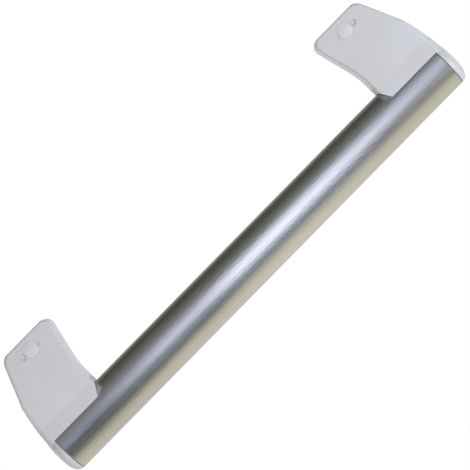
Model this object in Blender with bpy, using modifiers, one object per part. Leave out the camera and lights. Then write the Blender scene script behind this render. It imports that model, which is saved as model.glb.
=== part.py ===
"""Refrigerator door handle: a steel tube held off the door by two moulded brackets.

The handle stands on its feet as it would on the door. X runs along the tube, Z = 0 is the face of
the door and the tube lies above it. The two ends are mirror images, so each piece of the lower end
is modelled once, in a frame whose origin is on the door below the very end of the handle, with the
rest of the handle towards -X. The upper end then gets mirrored copies.
"""

import math

import bmesh
import bpy
from mathutils import Matrix, Vector

MM = 0.001
DEGREE = math.pi / 180

# Grip tube
HANDLE_LENGTH = 319.4 * MM
AXIS_HEIGHT = 61.2 * MM
TUBE_DIAMETER = 30.0 * MM
TUBE_WALL = 1.2 * MM
TUBE_EDGE_BREAK = 0.25 * MM

# Bracket seen from its side: a leaning leg with a crease, upright where it meets the tube
TOP_LENGTH = 44.9 * MM
INNER_UPRIGHT_HEIGHT = 37.7 * MM
INNER_BEND_RADIUS = 45.0 * MM
INNER_LEAN = 14.0 * DEGREE
CREASE_HEIGHT = 27.2 * MM
OUTER_BOW_RADIUS = 142.0 * MM
OUTER_BOW_RISE = 3.3 * MM
OUTER_BOW_SET_BACK = 0.3 * MM
OUTER_LEAN = 22.8 * DEGREE
CHEEK_RUN = 4.4 * MM
CHEEK_RISE = 7.6 * MM

# Bracket seen along the tube, and its rounded edges
GRIP_WIDTH = 26.4 * MM
FOOT_WIDTH = 24.0 * MM
INNER_EDGE_ROUND = 1.7 * MM
OUTER_EDGE_ROUND_FOOT = 2.3 * MM
OUTER_EDGE_ROUND_TOP = 5.5 * MM
FOOT_INNER_ROUND = 6.2 * MM
FOOT_OUTER_ROUND = 4.0 * MM
FOOT_SIDE_ROUND = 1.0 * MM

# Hollow of the bracket, open at the foot
WALL = 2.8 * MM
SADDLE_WALL = 2.8 * MM
FOOT_LAND = 1.0 * MM
FOOT_RIM_HEIGHT = 8.0 * MM
RIB_THICKNESS = 1.8 * MM
RIB_RECESS = 1.0 * MM
WEB_HEIGHT = 30.0 * MM

# End cap and the spigot that fills the tube's mouth
CAP_THICKNESS = 5.5 * MM
CAP_EDGE_ROUND = 6.8 * MM
CAP_SKIN = 3.0 * MM
SPIGOT_LENGTH = 34.0 * MM
SPIGOT_WALL = 2.4 * MM
SPIGOT_LEAD = 1.2 * MM
SPIGOT_SLOT_WIDTH = 3.0 * MM
SPIGOT_SLOT_LENGTH = 24.0 * MM

# Steel socket for the door's stud, in a boss at the foot
STUD_OFFSET = 2.1 * MM
SOCKET_BORE = 8.2 * MM
SOCKET_WALL = 1.4 * MM
SOCKET_LENGTH = 15.4 * MM
SOCKET_SINK = 0.5 * MM
SOCKET_EDGE_BREAK = 0.4 * MM
SOCKET_STOP = 1.8 * MM
BOSS_WALL = 1.8 * MM

# Lock screw that clamps the stud, its brass insert and its cover
LOCK_HEIGHT = 7.8 * MM
LOCK_SCREW_DIAMETER = 4.7 * MM
LOCK_SCREW_HEX = 2.5 * MM
LOCK_SCREW_HEX_DEPTH = 2.2 * MM
INSERT_WALL = 1.2 * MM
INSERT_BOSS_WALL = 1.6 * MM
COVER_DIAMETER = 9.4 * MM
COVER_THICKNESS = 1.6 * MM
COVER_RIM = 0.8 * MM
COVER_CROWN = 0.7 * MM
COVER_EDGE_BREAK = 0.3 * MM
OUTER_PRY_NOTCH = 3.8 * MM
INNER_PRY_NOTCH = 2.4 * MM
PRY_NOTCH_OVERLAP = 0.4 * MM

# Screws that hold the tube down in its saddle
TUBE_SCREW_PITCH = 10.0 * MM
TUBE_SCREW_DIAMETER = 3.4 * MM
TUBE_SCREW_LENGTH = 11.0 * MM
TUBE_SCREW_POINT = 1.6 * MM
TUBE_SCREW_HEAD = 6.4 * MM
TUBE_SCREW_HEAD_HEIGHT = 2.2 * MM
TUBE_SCREW_CROSS = 0.9 * MM
TUBE_SCREW_CROSS_DEPTH = 1.2 * MM
SCREW_BOSS_WALL = 2.6 * MM
SCREW_BOSS_DROP = 1.4 * MM

# Space left between pieces that meet
GAP = 0.3 * MM

# How finely round shapes are drawn
TUBE_STEPS = 64
BORE_STEPS = 24
CORNER_STEPS = 4
FOOT_LEVELS = 6
BOW_LEVELS = 8
CROWN_STEPS = 5

# Places that follow from the sizes above
TUBE_RADIUS = TUBE_DIAMETER / 2
TUBE_INNER_RADIUS = TUBE_RADIUS - TUBE_WALL
SADDLE_RADIUS = TUBE_RADIUS + GAP
ROOF_RADIUS = SADDLE_RADIUS + SADDLE_WALL
SOCKET_RADIUS = SOCKET_BORE / 2 + SOCKET_WALL
SOCKET_TOP = SOCKET_SINK + SOCKET_LENGTH
BOSS_RADIUS = SOCKET_RADIUS + GAP + BOSS_WALL
BOSS_TOP = SOCKET_TOP + GAP + SOCKET_STOP
INSERT_RADIUS = LOCK_SCREW_DIAMETER / 2 + GAP + INSERT_WALL
SCREW_SEAT_HEIGHT = AXIS_HEIGHT - ROOF_RADIUS - SCREW_BOSS_DROP
FAR = TUBE_DIAMETER


def inner_edge(height):
    """X of the bracket's inner face: leaning up from the foot, then upright under the tube."""
    below_upright = INNER_UPRIGHT_HEIGHT - height
    arc_drop = INNER_BEND_RADIUS * math.sin(INNER_LEAN)
    if below_upright <= 0:
        return -TOP_LENGTH
    if below_upright < arc_drop:
        sag = INNER_BEND_RADIUS - math.sqrt(INNER_BEND_RADIUS**2 - below_upright**2)
        return -TOP_LENGTH - sag
    arc_sag = INNER_BEND_RADIUS * (1 - math.cos(INNER_LEAN))
    return -TOP_LENGTH - arc_sag - (below_upright - arc_drop) * math.tan(INNER_LEAN)


def outer_edge(height):
    """X of the bracket's outer face: leaning up to the crease, then bowed up to the cap."""
    if height < CREASE_HEIGHT:
        return outer_edge(CREASE_HEIGHT) - (CREASE_HEIGHT - height) * math.tan(OUTER_LEAN)
    below_upright = AXIS_HEIGHT + OUTER_BOW_RISE - height
    return math.sqrt(OUTER_BOW_RADIUS**2 - below_upright**2) - OUTER_BOW_RADIUS - OUTER_BOW_SET_BACK


def half_width(height):
    """Half the bracket's width across the tube: it narrows from the crease to the foot."""
    share = min(height / CREASE_HEIGHT, 1)
    return (FOOT_WIDTH + (GRIP_WIDTH - FOOT_WIDTH) * share) / 2


def outer_edge_round(height):
    """Radius along the outer edges: steady on the leg, then growing towards the round cap."""
    share = max(height - CREASE_HEIGHT, 0) / (AXIS_HEIGHT - CREASE_HEIGHT)
    return OUTER_EDGE_ROUND_FOOT + (OUTER_EDGE_ROUND_TOP - OUTER_EDGE_ROUND_FOOT) * share


def set_back(height, radius):
    """How far a corner rounded at the foot stands back at a height above the door."""
    below_full = max(radius - height, 0)
    return radius - math.sqrt(radius**2 - below_full**2)


STUD_X = (inner_edge(0) + outer_edge(0)) / 2 + STUD_OFFSET
SIDE_AT_LOCK = half_width(LOCK_HEIGHT)
SIDE_DRAFT = math.atan((GRIP_WIDTH - FOOT_WIDTH) / 2 / CREASE_HEIGHT)
COVER_FLOOR = SIDE_AT_LOCK - COVER_THICKNESS - GAP
TUBE_SCREW_PLACES = {"inner": STUD_X, "outer": STUD_X + TUBE_SCREW_PITCH}


def remove_scene_objects():
    for thing in list(bpy.data.objects):
        bpy.data.objects.remove(thing, do_unlink=True)


def new_collection(name):
    collection = bpy.data.collections.new(name)
    bpy.context.scene.collection.children.link(collection)
    return collection


def new_material(name, colour, roughness, metallic):
    material = bpy.data.materials.new(name)
    material.use_nodes = True
    shader = material.node_tree.nodes["Principled BSDF"]
    shader.inputs["Base Color"].default_value = (*colour, 1)
    shader.inputs["Roughness"].default_value = roughness
    shader.inputs["Metallic"].default_value = metallic
    material.diffuse_color = (*colour, 1)
    return material


def new_object(name, mesh, parent=None):
    """A part goes in the handle's collection; it is moved out of it if it becomes a cutter."""
    piece = bpy.data.objects.new(name, mesh)
    handle_parts.objects.link(piece)
    piece.parent = parent
    return piece


def as_tool(piece):
    """Mark a shape that only cuts or adds to another one."""
    handle_parts.objects.unlink(piece)
    cutters.objects.link(piece)
    piece.hide_render = True
    piece.display_type = "WIRE"
    return piece


def combine(piece, tool, operation):
    modifier = piece.modifiers.new(tool.name, "BOOLEAN")
    modifier.operation = operation
    modifier.solver = "EXACT"
    modifier.object = tool


def cut(piece, *tools):
    for tool in tools:
        combine(piece, tool, "DIFFERENCE")


def join(piece, tool):
    combine(piece, tool, "UNION")


def shape_from(work, name, parent):
    """Turn the bmesh that has been worked on into an object."""
    mesh = bpy.data.meshes.new(name)
    work.to_mesh(mesh)
    work.free()
    return new_object(name, mesh, parent)


def turned(name, profile, parent=None, steps=BORE_STEPS):
    """Spin (radius, height) points about local Z, from the top down the outer side.

    A profile that starts on the axis is a solid, and any other one is closed into a ring.
    """
    points = [(radius, 0, height) for radius, height in profile]
    edges = [(i, i + 1) for i in range(len(points) - 1)]
    if profile[0][0] > 0:
        edges.append((len(points) - 1, 0))
    mesh = bpy.data.meshes.new(name)
    mesh.from_pydata(points, edges, [])
    piece = new_object(name, mesh, parent)
    screw = piece.modifiers.new("Turn", "SCREW")
    screw.steps = steps
    screw.render_steps = steps
    screw.use_merge_vertices = True
    screw.merge_threshold = 0.001 * MM
    return piece


def rod(name, radius, start, end, parent=None, steps=BORE_STEPS):
    """A cylinder tool from one point to another, turned so that a flat lies on each middle plane."""
    start = Vector(start)
    along = Vector(end) - start
    turn = along.to_track_quat("Z", "Y").to_matrix().to_4x4() @ Matrix.Rotation(math.pi / steps, 4, "Z")
    work = bmesh.new()
    bmesh.ops.create_cone(
        work, cap_ends=True, segments=steps, radius1=radius, radius2=radius, depth=along.length,
        matrix=Matrix.Translation(start + along / 2) @ turn,
    )
    return as_tool(shape_from(work, name, parent))


def lay_along_tube(piece):
    """Turn a shape made about local Z so that it lies on the tube's axis."""
    piece.location = (0, 0, AXIS_HEIGHT)
    piece.rotation_euler = (0, math.pi / 2, 0)
    return piece


def tube_core(name, radius, low_x, high_x, end):
    """A cylinder tool on the tube's axis, whose facets line up with the tube's own."""
    core = turned(name, [(0, high_x), (radius, high_x), (radius, low_x), (0, low_x)], end, TUBE_STEPS)
    return as_tool(lay_along_tube(core))


def block(name, low, high, parent=None):
    """A box tool between two corners."""
    low = Vector(low)
    size = Vector(high) - low
    work = bmesh.new()
    place = Matrix.Translation(low + size / 2) @ Matrix.Diagonal((*size, 1))
    bmesh.ops.create_cube(work, size=1, matrix=place)
    return as_tool(shape_from(work, name, parent))


def level(height, low_x, high_x, half, low_round, high_round):
    """One level of the bracket: a rectangle with its own radius at either end."""
    corners = (
        (high_x - high_round, half - high_round, high_round, 0),
        (low_x + low_round, half - low_round, low_round, 90),
        (low_x + low_round, low_round - half, low_round, 180),
        (high_x - high_round, high_round - half, high_round, 270),
    )
    points = []
    for x, y, radius, start in corners:
        for step in range(CORNER_STEPS + 1):
            angle = (start + 90 * step / CORNER_STEPS) * DEGREE
            points.append((x + radius * math.cos(angle), y + radius * math.sin(angle), height))
    return points


def loft(name, levels, parent):
    """Skin a closed solid over a stack of levels, from the lowest to the highest."""
    work = bmesh.new()
    rings = [[work.verts.new(point) for point in points] for points in levels]
    for lower, upper in zip(rings, rings[1:]):
        for i in range(len(lower)):
            work.faces.new((lower[i - 1], lower[i], upper[i], upper[i - 1]))
    work.faces.new(reversed(rings[0]))
    work.faces.new(rings[-1])
    return shape_from(work, name, parent)


def bow_heights():
    """Even levels from the crease up to the tube's axis."""
    span = AXIS_HEIGHT - CREASE_HEIGHT
    return [CREASE_HEIGHT + span * step / BOW_LEVELS for step in range(BOW_LEVELS + 1)]


def bracket_leg(end):
    """The leg's outer skin, from the rounded foot up to the tube's axis."""
    foot_round = max(FOOT_INNER_ROUND, FOOT_OUTER_ROUND)
    foot_heights = [foot_round * (step / FOOT_LEVELS) ** 2 for step in range(FOOT_LEVELS + 1)]
    levels = []
    for height in foot_heights + bow_heights():
        low_x = inner_edge(height) + set_back(height, FOOT_INNER_ROUND)
        high_x = outer_edge(height) - set_back(height, FOOT_OUTER_ROUND)
        half = half_width(height) - set_back(height, FOOT_SIDE_ROUND)
        levels.append(level(height, low_x, high_x, half, INNER_EDGE_ROUND, outer_edge_round(height)))
    return loft("lower_bracket", levels, end)


def hollow_level(height):
    """The leg's hollow at a height: a wall in from the skin, with a thicker rim at the foot."""
    above = max(height, 0)
    rim_share = max(1 - above / FOOT_RIM_HEIGHT, 0)
    inner_wall = WALL + (FOOT_INNER_ROUND + FOOT_LAND - WALL) * rim_share
    outer_wall = WALL + (FOOT_OUTER_ROUND + FOOT_LAND - WALL) * rim_share
    inner_round = INNER_EDGE_ROUND / 2
    outer_round = max(outer_edge_round(above) - WALL, inner_round)
    low_x = inner_edge(above) + inner_wall
    high_x = outer_edge(above) - outer_wall
    return level(height, low_x, high_x, half_width(above) - WALL, inner_round, outer_round)


def bracket_hollow(end):
    """The moulding's core: everything inside the leg that is neither rib, web nor boss."""
    heights = [-FOOT_LAND, 0, FOOT_RIM_HEIGHT] + bow_heights()
    hollow = as_tool(loft("hollow", [hollow_level(height) for height in heights], end))
    cut(hollow, tube_core("roof", ROOF_RADIUS, -TOP_LENGTH - FAR, FAR, end))
    mouth_end = outer_edge(0) - FOOT_OUTER_ROUND - FOOT_LAND
    for i in range(len(TUBE_SCREW_PLACES) + 1):
        middle = STUD_X + (i - 0.5) * TUBE_SCREW_PITCH
        bottom = RIB_RECESS if middle < mouth_end else CREASE_HEIGHT - RIB_THICKNESS
        low = (middle - RIB_THICKNESS / 2, -FAR, bottom)
        high = (middle + RIB_THICKNESS / 2, FAR, AXIS_HEIGHT + GAP)
        cut(hollow, block(f"rib_{i + 1}", low, high, end))
    web_low = (inner_edge(0) - FAR, -RIB_THICKNESS / 2, RIB_RECESS)
    cut(hollow, block("web", web_low, (STUD_X, RIB_THICKNESS / 2, WEB_HEIGHT), end))
    cut(hollow, rod("socket_boss", BOSS_RADIUS, (STUD_X, 0, -FAR), (STUD_X, 0, BOSS_TOP), end))
    insert_boss = INSERT_RADIUS + GAP + INSERT_BOSS_WALL
    cut(hollow, rod("insert_boss", insert_boss, (STUD_X, -FAR, LOCK_HEIGHT), (STUD_X, 0, LOCK_HEIGHT), end))
    pad_radius = COVER_DIAMETER / 2 + GAP + INSERT_BOSS_WALL
    pad_face = (STUD_X, INSERT_BOSS_WALL - COVER_FLOOR, LOCK_HEIGHT)
    cut(hollow, rod("cover_pad", pad_radius, (STUD_X, -FAR, LOCK_HEIGHT), pad_face, end))
    boss_radius = TUBE_SCREW_DIAMETER / 2 + GAP + SCREW_BOSS_WALL
    for name, x in TUBE_SCREW_PLACES.items():
        boss = rod(f"screw_boss_{name}", boss_radius, (x, 0, SCREW_SEAT_HEIGHT), (x, 0, AXIS_HEIGHT), end)
        cut(hollow, boss)
    return hollow


def cap_and_spigot(end):
    """The domed end of the handle, turned in one with the sleeve that fills the tube's mouth."""
    dome = []
    for step in range(CORNER_STEPS + 1):
        angle = step / CORNER_STEPS * 90 * DEGREE
        radius = TUBE_RADIUS - CAP_EDGE_ROUND * (1 - math.sin(angle))
        dome.append((radius, CAP_THICKNESS * (math.cos(angle) - 1)))
    spigot_radius = TUBE_INNER_RADIUS - GAP
    spigot_end = -CAP_THICKNESS - SPIGOT_LENGTH
    sleeve = [
        (spigot_radius, -CAP_THICKNESS),
        (spigot_radius, spigot_end + SPIGOT_LEAD),
        (spigot_radius - SPIGOT_LEAD / 2, spigot_end),
        (spigot_radius - SPIGOT_WALL, spigot_end),
        (spigot_radius - SPIGOT_WALL, -CAP_SKIN),
        (0, -CAP_SKIN),
    ]
    return as_tool(lay_along_tube(turned("cap_and_spigot", [(0, 0)] + dome + sleeve, end, TUBE_STEPS)))


def cheek_slope(end):
    """The wedge that slopes the saddle's cheeks back where the bare tube begins."""
    tube_bottom = AXIS_HEIGHT - TUBE_RADIUS
    reach = AXIS_HEIGHT / CHEEK_RISE
    corner = Vector((-TOP_LENGTH, tube_bottom))
    along = Vector((CHEEK_RUN, CHEEK_RISE))
    outline = (corner - along, corner + along * reach, corner + Vector((-CHEEK_RUN, CHEEK_RISE)) * reach)
    curve = bpy.data.curves.new("cheek_slope", "CURVE")
    curve.dimensions = "2D"
    curve.fill_mode = "BOTH"
    curve.extrude = GRIP_WIDTH
    spline = curve.splines.new("POLY")
    spline.points.add(len(outline) - 1)
    for point, (x, z) in zip(spline.points, outline):
        point.co = (x, z, 0, 1)
    spline.use_cyclic_u = True
    return mesh_tool(curve, (math.pi / 2, 0, 0), end)


def mesh_tool(curve, turn, end):
    """Make a filled curve a welded mesh, so that it can cut."""
    guide = bpy.data.objects.new(curve.name, curve)
    bpy.context.scene.collection.objects.link(guide)
    guide.rotation_euler = turn
    bpy.context.view_layer.update()
    graph = bpy.context.evaluated_depsgraph_get()
    mesh = bpy.data.meshes.new_from_object(guide.evaluated_get(graph))
    place = guide.matrix_world.copy()
    bpy.data.objects.remove(guide, do_unlink=True)
    work = bmesh.new()
    work.from_mesh(mesh)
    bmesh.ops.remove_doubles(work, verts=work.verts, dist=0.001 * MM)
    bmesh.ops.transform(work, matrix=place, verts=work.verts)
    bmesh.ops.recalc_face_normals(work, faces=work.faces)
    return as_tool(shape_from(work, curve.name, end))


def cut_socket_and_lock(bracket, end):
    """Bores for the stud's socket, the driver above it, the insert and the cover."""
    socket_end = SOCKET_TOP + GAP
    socket = rod("socket_bore", SOCKET_RADIUS + GAP, (STUD_X, 0, -FAR), (STUD_X, 0, socket_end), end)
    driver_top = (STUD_X, 0, BOSS_TOP + GAP)
    driver = rod("driver_bore", SOCKET_BORE / 2, (STUD_X, 0, 0), driver_top, end)
    insert_start = (STUD_X, -COVER_FLOOR - GAP, LOCK_HEIGHT)
    insert = rod("insert_bore", INSERT_RADIUS + GAP, insert_start, (STUD_X, 0, LOCK_HEIGHT), end)
    cut(bracket, socket, driver, insert, *cover_tools(end, "bracket", COVER_DIAMETER / 2 + GAP))


def cover_tools(end, use, recess_radius=None):
    """Tools square to the drafted side: the two pry notches, and the recess if it has a radius."""
    out = Vector((0, -math.cos(SIDE_DRAFT), -math.sin(SIDE_DRAFT)))
    face = Vector((STUD_X, -SIDE_AT_LOCK, LOCK_HEIGHT))
    tools = []
    if recess_radius:
        floor = face - out * (COVER_THICKNESS + GAP)
        tools.append(rod("cover_recess", recess_radius, floor, face + out * WALL, end, BORE_STEPS + 8))
    for side, way, diameter in (("inner", -1, INNER_PRY_NOTCH), ("outer", 1, OUTER_PRY_NOTCH)):
        from_middle = COVER_DIAMETER / 2 + diameter / 2 - PRY_NOTCH_OVERLAP
        foot = face + Vector((way * from_middle, 0, 0)) - out * COVER_THICKNESS
        tools.append(rod(f"pry_notch_{side}_{use}", diameter / 2, foot, foot + out * FAR, end, 16))
    return tools


def cut_spigot(bracket, end):
    """Side slots that let the spigot spring, and holes for the two tube screws."""
    spigot_end = -CAP_THICKNESS - SPIGOT_LENGTH
    low = (spigot_end - GAP, -TUBE_RADIUS, AXIS_HEIGHT - SPIGOT_SLOT_WIDTH / 2)
    high = (spigot_end + SPIGOT_SLOT_LENGTH, TUBE_RADIUS, AXIS_HEIGHT + SPIGOT_SLOT_WIDTH / 2)
    cut(bracket, block("spigot_slot", low, high, end))
    for name, x in TUBE_SCREW_PLACES.items():
        cut(bracket, screw_hole(f"saddle_hole_{name}", x, end))


def screw_hole(name, x, parent=None):
    radius = TUBE_SCREW_DIAMETER / 2 + GAP
    return rod(name, radius, (x, 0, SCREW_SEAT_HEIGHT - GAP), (x, 0, AXIS_HEIGHT), parent)


def make_bracket(end):
    bracket = bracket_leg(end)
    cut(bracket, tube_core("saddle", SADDLE_RADIUS, -TOP_LENGTH - FAR, -CAP_THICKNESS, end))
    cut(bracket, cheek_slope(end))
    join(bracket, cap_and_spigot(end))
    cut(bracket, bracket_hollow(end))
    cut_socket_and_lock(bracket, end)
    cut_spigot(bracket, end)
    return bracket


def make_stud_socket(end):
    """A plain steel bush with broken edges and a cross hole for the lock screw."""
    bore = SOCKET_BORE / 2
    profile = [
        (bore, SOCKET_LENGTH),
        (SOCKET_RADIUS - SOCKET_EDGE_BREAK, SOCKET_LENGTH),
        (SOCKET_RADIUS, SOCKET_LENGTH - SOCKET_EDGE_BREAK),
        (SOCKET_RADIUS, SOCKET_EDGE_BREAK),
        (SOCKET_RADIUS - SOCKET_EDGE_BREAK, 0),
        (bore + SOCKET_EDGE_BREAK, 0),
        (bore, SOCKET_EDGE_BREAK),
    ]
    socket = turned("lower_stud_socket", profile, end)
    socket.location = (STUD_X, 0, SOCKET_SINK)
    cross_hole = LOCK_SCREW_DIAMETER / 2 + GAP
    cut(socket, rod("lock_hole", cross_hole, (STUD_X, -FAR, LOCK_HEIGHT), (STUD_X, 0, LOCK_HEIGHT), end, 20))
    return socket


def make_thread_insert(end):
    """A brass sleeve from just under the cover to the stud socket, waisted for its grip."""
    outer_end = COVER_FLOOR - GAP
    length = outer_end - SOCKET_RADIUS - GAP
    bore = LOCK_SCREW_DIAMETER / 2 + GAP
    waist = INSERT_RADIUS - INSERT_WALL / 3
    profile = [
        (bore, 0),
        (INSERT_RADIUS, 0),
        (INSERT_RADIUS, -length * 0.35),
        (waist, -length * 0.4),
        (waist, -length * 0.55),
        (INSERT_RADIUS, -length * 0.6),
        (INSERT_RADIUS, -length),
        (bore, -length),
    ]
    insert = turned("lower_thread_insert", profile, end, 20)
    insert.location = (STUD_X, -outer_end, LOCK_HEIGHT)
    insert.rotation_euler = (math.pi / 2, 0, 0)
    return insert


def make_lock_screw(end):
    """A headless screw with a hexagon socket; its point stops just short of the stud's bore."""
    radius = LOCK_SCREW_DIAMETER / 2
    outer_end = COVER_FLOOR - 2 * GAP
    length = outer_end - SOCKET_BORE / 2 - GAP
    point = radius / 2
    profile = [(0, 0), (radius, 0), (radius, point - length), (point, -length), (0, -length)]
    screw = turned("lower_lock_screw", profile, end, 20)
    screw.location = (STUD_X, -outer_end, LOCK_HEIGHT)
    screw.rotation_euler = (math.pi / 2, 0, 0)
    hex_radius = LOCK_SCREW_HEX / math.sqrt(3)
    hex_floor = (STUD_X, LOCK_SCREW_HEX_DEPTH - outer_end, LOCK_HEIGHT)
    cut(screw, rod("hex_socket", hex_radius, (STUD_X, -FAR, LOCK_HEIGHT), hex_floor, end, 6))
    return screw


def make_screw_cover(end):
    """A press-in button with a low crown, notched at two sides so that it can be pried out."""
    radius = COVER_DIAMETER / 2
    crown_radius = radius - COVER_RIM
    profile = []
    for step in range(CROWN_STEPS + 1):
        share = step / CROWN_STEPS
        profile.append((crown_radius * share, COVER_CROWN * (1 - share**2)))
    profile += [
        (radius - COVER_EDGE_BREAK, 0),
        (radius, -COVER_EDGE_BREAK),
        (radius, -COVER_THICKNESS),
        (0, -COVER_THICKNESS),
    ]
    cover = turned("lower_screw_cover", profile, end, BORE_STEPS + 8)
    cover.location = (STUD_X, -SIDE_AT_LOCK, LOCK_HEIGHT)
    cover.rotation_euler = (math.pi / 2 + SIDE_DRAFT, 0, 0)
    cut(cover, *cover_tools(end, "cover"))
    return cover


def make_tube_screw(end, place, x):
    """A pan-head screw driven up through the saddle and the tube into the spigot."""
    shank = TUBE_SCREW_DIAMETER / 2
    head = TUBE_SCREW_HEAD / 2
    top = TUBE_SCREW_HEAD_HEIGHT
    profile = [
        (0, top),
        (head * 0.6, top),
        (head * 0.9, top * 0.8),
        (head, top * 0.4),
        (head, 0),
        (shank, 0),
        (shank, TUBE_SCREW_POINT - TUBE_SCREW_LENGTH),
        (0, -TUBE_SCREW_LENGTH),
    ]
    screw = turned(f"lower_tube_screw_{place}", profile, end, 20)
    under_head = SCREW_SEAT_HEIGHT - GAP
    screw.location = (x, 0, under_head)
    screw.rotation_euler = (math.pi, 0, 0)
    head_face = under_head - top
    slot_half = TUBE_SCREW_CROSS / 2
    for across, (reach_x, reach_y) in {"x": (head / 2, slot_half), "y": (slot_half, head / 2)}.items():
        low = (x - reach_x, -reach_y, head_face - top)
        high = (x + reach_x, reach_y, head_face + TUBE_SCREW_CROSS_DEPTH)
        cut(screw, block(f"cross_{place}_{across}", low, high, end))
    return screw


def make_grip_tube():
    """The brushed steel tube, with the four holes that its screws pass through."""
    half_length = HANDLE_LENGTH / 2 - CAP_THICKNESS - GAP
    edge = half_length - TUBE_EDGE_BREAK
    profile = [
        (TUBE_INNER_RADIUS, half_length),
        (TUBE_RADIUS - TUBE_EDGE_BREAK, half_length),
        (TUBE_RADIUS, edge),
        (TUBE_RADIUS, -edge),
        (TUBE_RADIUS - TUBE_EDGE_BREAK, -half_length),
        (TUBE_INNER_RADIUS, -half_length),
    ]
    tube = lay_along_tube(turned("grip_tube", profile, steps=TUBE_STEPS))
    for side in (-1, 1):
        for name, x in TUBE_SCREW_PLACES.items():
            cut(tube, screw_hole(f"tube_hole_{name}_{side + 2}", side * (HANDLE_LENGTH / 2 + x)))
    return tube


def settle(piece, material):
    """Keep what the modifiers made as the piece's own mesh, welded, and smooth where it is round."""
    bpy.context.view_layer.update()
    graph = bpy.context.evaluated_depsgraph_get()
    mesh = bpy.data.meshes.new_from_object(piece.evaluated_get(graph))
    work = bmesh.new()
    work.from_mesh(mesh)
    bmesh.ops.remove_doubles(work, verts=work.verts, dist=0.001 * MM)
    work.to_mesh(mesh)
    work.free()
    piece.modifiers.clear()
    piece.data = mesh
    mesh.name = piece.name
    mesh.materials.clear()
    mesh.materials.append(material)
    mesh.shade_smooth()
    mesh.set_sharp_from_angle(angle=30 * DEGREE)


def mirrored_copy(piece, end):
    """The same piece for the upper end, turned into its mirror image across the handle's middle."""
    turn = piece.rotation_euler.to_matrix().to_4x4()
    mirror = Matrix.Scale(-1, 4, (1, 0, 0))
    mesh = piece.data.copy()
    mesh.transform(turn.inverted() @ mirror @ turn)
    mesh.flip_normals()
    mesh.name = piece.name.replace("lower", "upper")
    copy = new_object(mesh.name, mesh, end)
    copy.location = (-piece.location.x, piece.location.y, piece.location.z)
    copy.rotation_euler = piece.rotation_euler


def make_handle():
    plastic = new_material("bracket_plastic", (0.62, 0.63, 0.66), 0.5, 0)
    tube_steel = new_material("brushed_steel", (0.56, 0.55, 0.53), 0.32, 1)
    zinc_steel = new_material("zinc_plated_steel", (0.5, 0.52, 0.55), 0.35, 1)
    brass = new_material("insert_brass", (0.75, 0.55, 0.25), 0.3, 1)
    settle(make_grip_tube(), tube_steel)

    lower_end = new_object("lower_end", None)
    lower_end.location = (HANDLE_LENGTH / 2, 0, 0)
    upper_end = new_object("upper_end", None)
    upper_end.location = (-HANDLE_LENGTH / 2, 0, 0)
    finishes = {
        make_bracket(lower_end): plastic,
        make_screw_cover(lower_end): plastic,
        make_stud_socket(lower_end): zinc_steel,
        make_lock_screw(lower_end): zinc_steel,
        make_thread_insert(lower_end): brass,
    }
    for place, x in TUBE_SCREW_PLACES.items():
        finishes[make_tube_screw(lower_end, place, x)] = zinc_steel
    for piece, material in finishes.items():
        settle(piece, material)
        mirrored_copy(piece, upper_end)


remove_scene_objects()
handle_parts = new_collection("refrigerator_door_handle")
cutters = new_collection("cutters")
make_handle()
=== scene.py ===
# %% [markdown]
# # A refrigerator door handle in Blender
#
# The handle is a brushed steel tube held off the door by two brackets of pale moulded plastic. It is
# modelled standing on its feet, as it would on the door: X runs along the tube, Y across it, and
# Z = 0 is the face of the door. The lower end of the handle is at +X.
#
# The imported model comes first. It fixes where everything sits, so the script measures what it can.
# Sizes that can't be measured are named values, as in the imported parts. Only the smallest roundings
# are added here.

# %% Load the imported model
import math

import bpy
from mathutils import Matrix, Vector


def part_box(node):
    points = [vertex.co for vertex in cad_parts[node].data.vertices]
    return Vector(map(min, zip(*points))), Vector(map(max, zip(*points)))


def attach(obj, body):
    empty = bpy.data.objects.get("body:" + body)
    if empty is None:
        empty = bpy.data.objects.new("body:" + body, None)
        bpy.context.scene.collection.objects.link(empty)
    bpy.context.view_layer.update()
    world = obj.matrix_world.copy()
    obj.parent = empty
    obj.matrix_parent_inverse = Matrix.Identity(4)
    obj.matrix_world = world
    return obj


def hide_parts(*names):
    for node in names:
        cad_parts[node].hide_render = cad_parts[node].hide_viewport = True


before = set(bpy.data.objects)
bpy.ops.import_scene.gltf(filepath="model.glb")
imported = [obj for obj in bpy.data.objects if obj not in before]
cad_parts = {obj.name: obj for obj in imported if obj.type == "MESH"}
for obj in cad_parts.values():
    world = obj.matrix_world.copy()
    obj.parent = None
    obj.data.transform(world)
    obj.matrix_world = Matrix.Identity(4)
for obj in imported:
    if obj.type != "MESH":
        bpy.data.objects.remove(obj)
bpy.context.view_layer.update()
MM = 0.001
DEGREE = math.pi / 180


# %% Measure the tube and the stud socket
tube_low, tube_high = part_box("grip_tube")
TUBE_RADIUS = (tube_high.y - tube_low.y) / 2
AXIS_HEIGHT = tube_high.z - TUBE_RADIUS
TUBE_HALF = tube_high.x
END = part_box("lower_bracket")[1].x
socket_low, socket_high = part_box("lower_stud_socket")
STUD_X = (socket_low.x + socket_high.x) / 2
print(f"tube {2 * TUBE_RADIUS / MM:.1f} mm across, its axis {AXIS_HEIGHT / MM:.1f} mm up")
print(f"stud {STUD_X / MM:.1f} mm from the middle")

# %% [markdown]
# ## Camera
#
# The handle was photographed square from its side, with a long lens, and lies corner to corner in a
# square picture. So the camera looks along +Y and is rolled about its own view line, which keeps the
# handle itself upright on its floor.

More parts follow.
